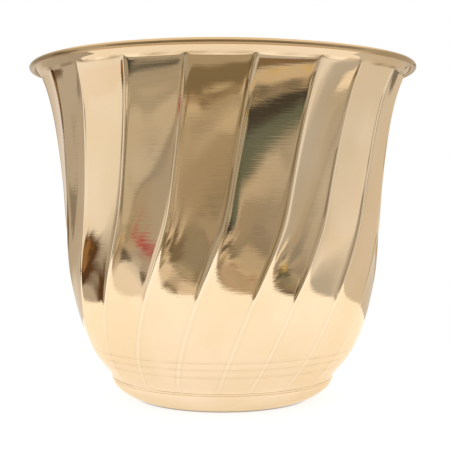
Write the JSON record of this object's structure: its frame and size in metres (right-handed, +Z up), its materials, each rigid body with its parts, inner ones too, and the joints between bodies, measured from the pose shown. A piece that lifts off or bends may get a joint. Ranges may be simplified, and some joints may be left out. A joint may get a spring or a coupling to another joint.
{
  "type": "planter pot",
  "caption": "Round brass planter pot: tapered vessel with swirled flutes, a flared wired rim and a low rounded foot, open at the top.",
  "frame": {"origin": "centre of the foot on the floor", "axes": "+Z up along the pot's axis; -Y is the front, and the pot is alike all round"},
  "size_m": [0.254, 0.254, 0.217],
  "materials": {
    "body_brass": "mirror polished",
    "foot_brass": "mirror polished",
    "base_brass": "spun, lightly tarnished",
    "wire_steel": "drawn wire",
    "solder": "dull tin"
  },
  "bodies": {
    "root": {"fluted_body": "body_brass", "rim_wire": "wire_steel", "base_disc": "base_brass", "base_solder": "solder", "foot_ring": "foot_brass", "foot_solder": "solder"}
  },
  "joints": []
}
